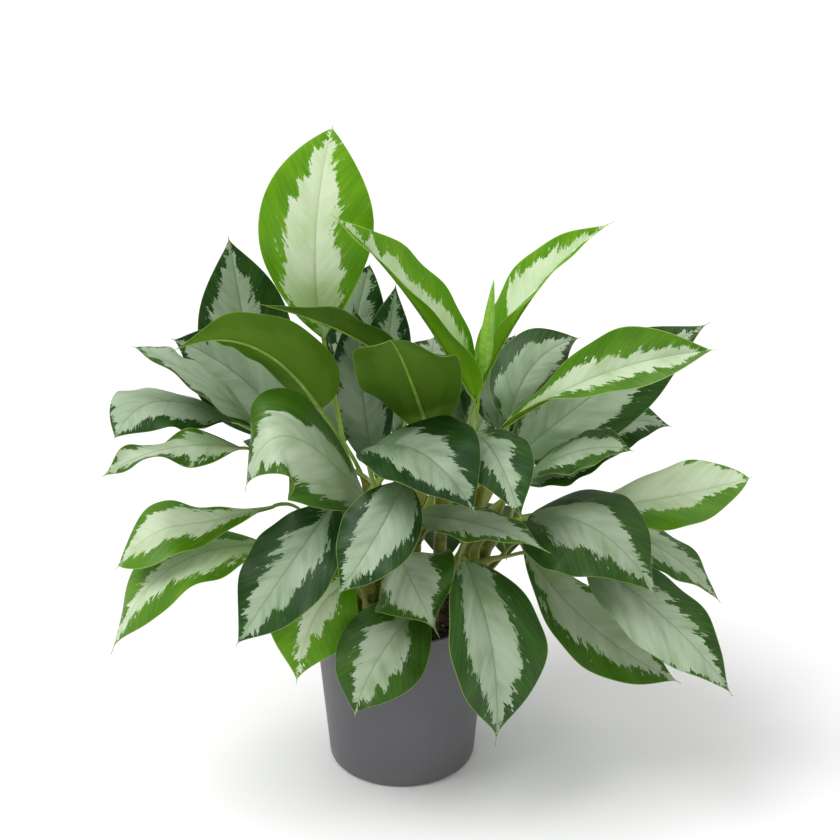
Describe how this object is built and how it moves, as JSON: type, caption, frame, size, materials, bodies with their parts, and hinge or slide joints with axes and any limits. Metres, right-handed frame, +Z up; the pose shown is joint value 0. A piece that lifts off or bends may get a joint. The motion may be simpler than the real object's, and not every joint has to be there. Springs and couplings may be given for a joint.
{
  "type": "potted chinese evergreen",
  "caption": "Bushy foliage house plant with broad, silver-centred, green-edged leaves on slender stalks, standing in a plain round tapered grower's pot.",
  "frame": {"origin": "middle of the pot's underside, on the surface that it stands on", "axes": "+Z up along the pot's axis; -Y towards the side that the picture shows, +X to that view's right"},
  "size_m": [0.7131, 0.5112, 0.7638],
  "materials": {
    "pot": "fine-grained satin",
    "soil": "loose moist potting mix",
    "cane": "ringed, pale green and fleshy",
    "leaf": "waxy, satin, silver centre with dark green edges",
    "young_leaf": "waxy, satin, pale centre with bright green edges",
    "stalk": "smooth, pale olive green"
  },
  "bodies": {
    "root": {"pot": "pot", "soil": "soil", "cane_left": "cane", "cane_left_back": "cane", "cane_front_left": "cane", "cane_centre": "cane", "cane_front": "cane", "cane_middle": "cane", "cane_right": "cane", "cane_right_back": "cane", "cane_back": "cane", "leaf_top_upright": "young_leaf", "leaf_left_arching": "leaf", "leaf_middle_arching": "leaf", "leaf_centre_leaning": "leaf", "leaf_left_folded": "young_leaf", "leaf_right_folded": "young_leaf", "leaf_right_bright": "young_leaf", "leaf_back_left_upright": "leaf", "leaf_left_upper": "leaf", "leaf_left_upper_behind": "leaf", "leaf_left_middle_behind": "leaf", "leaf_left_middle": "leaf", "leaf_left_front": "leaf", "leaf_behind_top": "leaf", "leaf_behind_middle": "leaf", "leaf_shaded_upright": "leaf", "leaf_centre_front": "leaf", "leaf_centre_front_behind": "leaf", "leaf_twisted_centre": "leaf", "leaf_right_behind": "leaf", "leaf_right_behind_inner": "leaf", "leaf_right_long": "leaf", "leaf_right_middle": "leaf", "leaf_right_under": "leaf", "leaf_right_far_behind": "leaf", "leaf_right_front": "leaf", "leaf_right_far": "leaf", "leaf_right_low": "leaf", "leaf_right_hanging": "leaf", "leaf_right_hanging_outer": "leaf", "leaf_front_hanging": "leaf", "leaf_front_low": "leaf", "leaf_front_waved": "leaf", "leaf_front_silver": "leaf", "leaf_front_left_silver": "leaf", "leaf_front_left_young": "young_leaf", "leaf_left_low": "leaf", "leaf_left_lowest": "leaf", "leaf_back_upright": "leaf", "leaf_back_right": "leaf", "leaf_back_right_low": "leaf", "leaf_back_centre_right": "leaf", "leaf_back_centre_left": "leaf", "leaf_back_left": "leaf", "leaf_back_left_low": "leaf", "leaf_back_low_right": "leaf", "leaf_back_low_centre": "leaf", "rolled_leaf": "young_leaf"}
  },
  "joints": []
}
